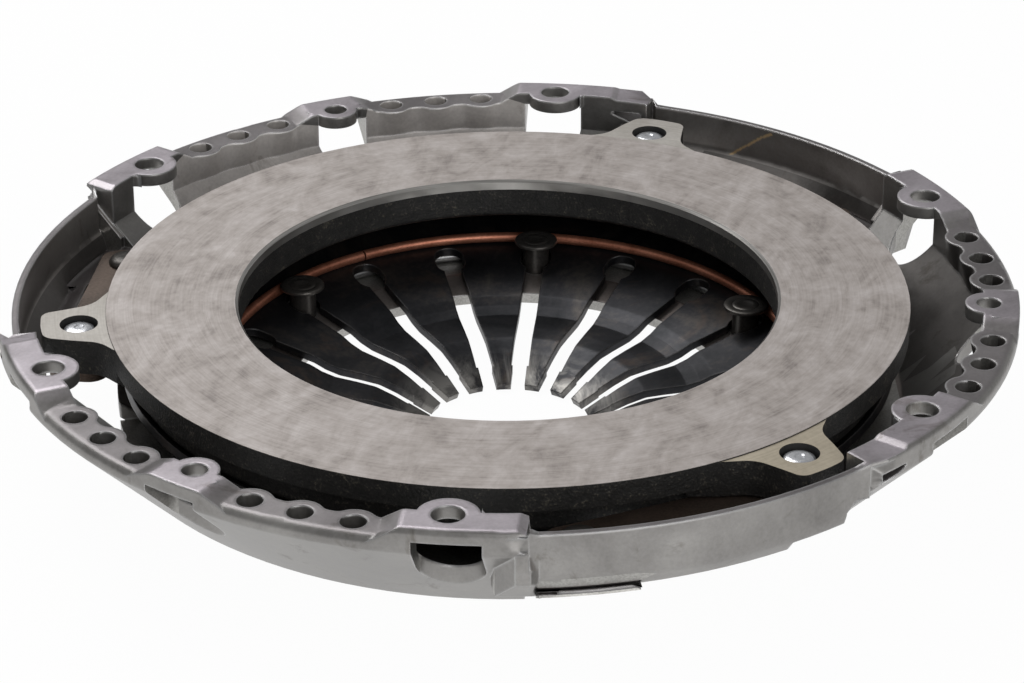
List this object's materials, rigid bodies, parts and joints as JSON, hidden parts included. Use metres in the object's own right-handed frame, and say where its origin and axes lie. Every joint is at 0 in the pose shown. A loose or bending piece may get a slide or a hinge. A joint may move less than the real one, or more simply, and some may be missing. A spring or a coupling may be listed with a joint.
{
  "type": "diaphragm spring clutch pressure plate",
  "caption": "Clutch pressure plate: pressed steel cover with bolted ears, cast-iron plate on drive straps and a slotted diaphragm spring held by shouldered rivets.",
  "frame": {"origin": "centre of the flywheel bolt circle, on the plane of the bolted ears' top faces", "axes": "+Z is the clutch axis and points to the flywheel; the strap pockets are at 30, 150 and 270 degrees from +X"},
  "size_m": [0.33, 0.33, 0.0556],
  "materials": {
    "cover_steel": "drawn sheet steel, oiled, satin grey",
    "plate_iron": "grey iron with a ground friction face and black cast sides",
    "spring_steel": "dark heat-treated spring steel",
    "copper_plated_wire": "copper-plated steel wire",
    "wire_steel": "drawn steel wire",
    "strap_steel": "brown tempered strip steel",
    "rivet_steel": "plain steel, bright where headed"
  },
  "bodies": {
    "cover_body": {"cover": "cover_steel", "diaphragm_spring": "spring_steel", "fulcrum_ring_plate_side": "copper_plated_wire", "fulcrum_ring_cover_side": "wire_steel", "spring_rivet_1": "rivet_steel", "spring_rivet_2": "rivet_steel", "spring_rivet_3": "rivet_steel", "spring_rivet_4": "rivet_steel", "spring_rivet_5": "rivet_steel", "spring_rivet_6": "rivet_steel", "drive_strap_1_upper": "strap_steel", "drive_strap_1_middle": "strap_steel", "drive_strap_1_lower": "strap_steel", "drive_strap_2_upper": "strap_steel", "drive_strap_2_middle": "strap_steel", "drive_strap_2_lower": "strap_steel", "drive_strap_3_upper": "strap_steel", "drive_strap_3_middle": "strap_steel", "drive_strap_3_lower": "strap_steel", "cover_strap_rivet_1": "rivet_steel", "cover_strap_rivet_2": "rivet_steel", "cover_strap_rivet_3": "rivet_steel"},
    "plate_body": {"pressure_plate": "plate_iron", "plate_strap_rivet_1": "rivet_steel", "plate_strap_rivet_2": "rivet_steel", "plate_strap_rivet_3": "rivet_steel"}
  },
  "joints": [
    {"name": "plate_travel", "type": "slide", "parent": "cover_body", "child": "plate_body", "axis": [0, 0, 1], "range_m": [-0.005, 0], "stiffness_N_per_m": 50000, "springref_m": 0.002, "deforming": ["diaphragm_spring", "drive_strap_1_upper", "drive_strap_1_middle", "drive_strap_1_lower", "drive_strap_2_upper", "drive_strap_2_middle", "drive_strap_2_lower", "drive_strap_3_upper", "drive_strap_3_middle", "drive_strap_3_lower"]}
  ]
}
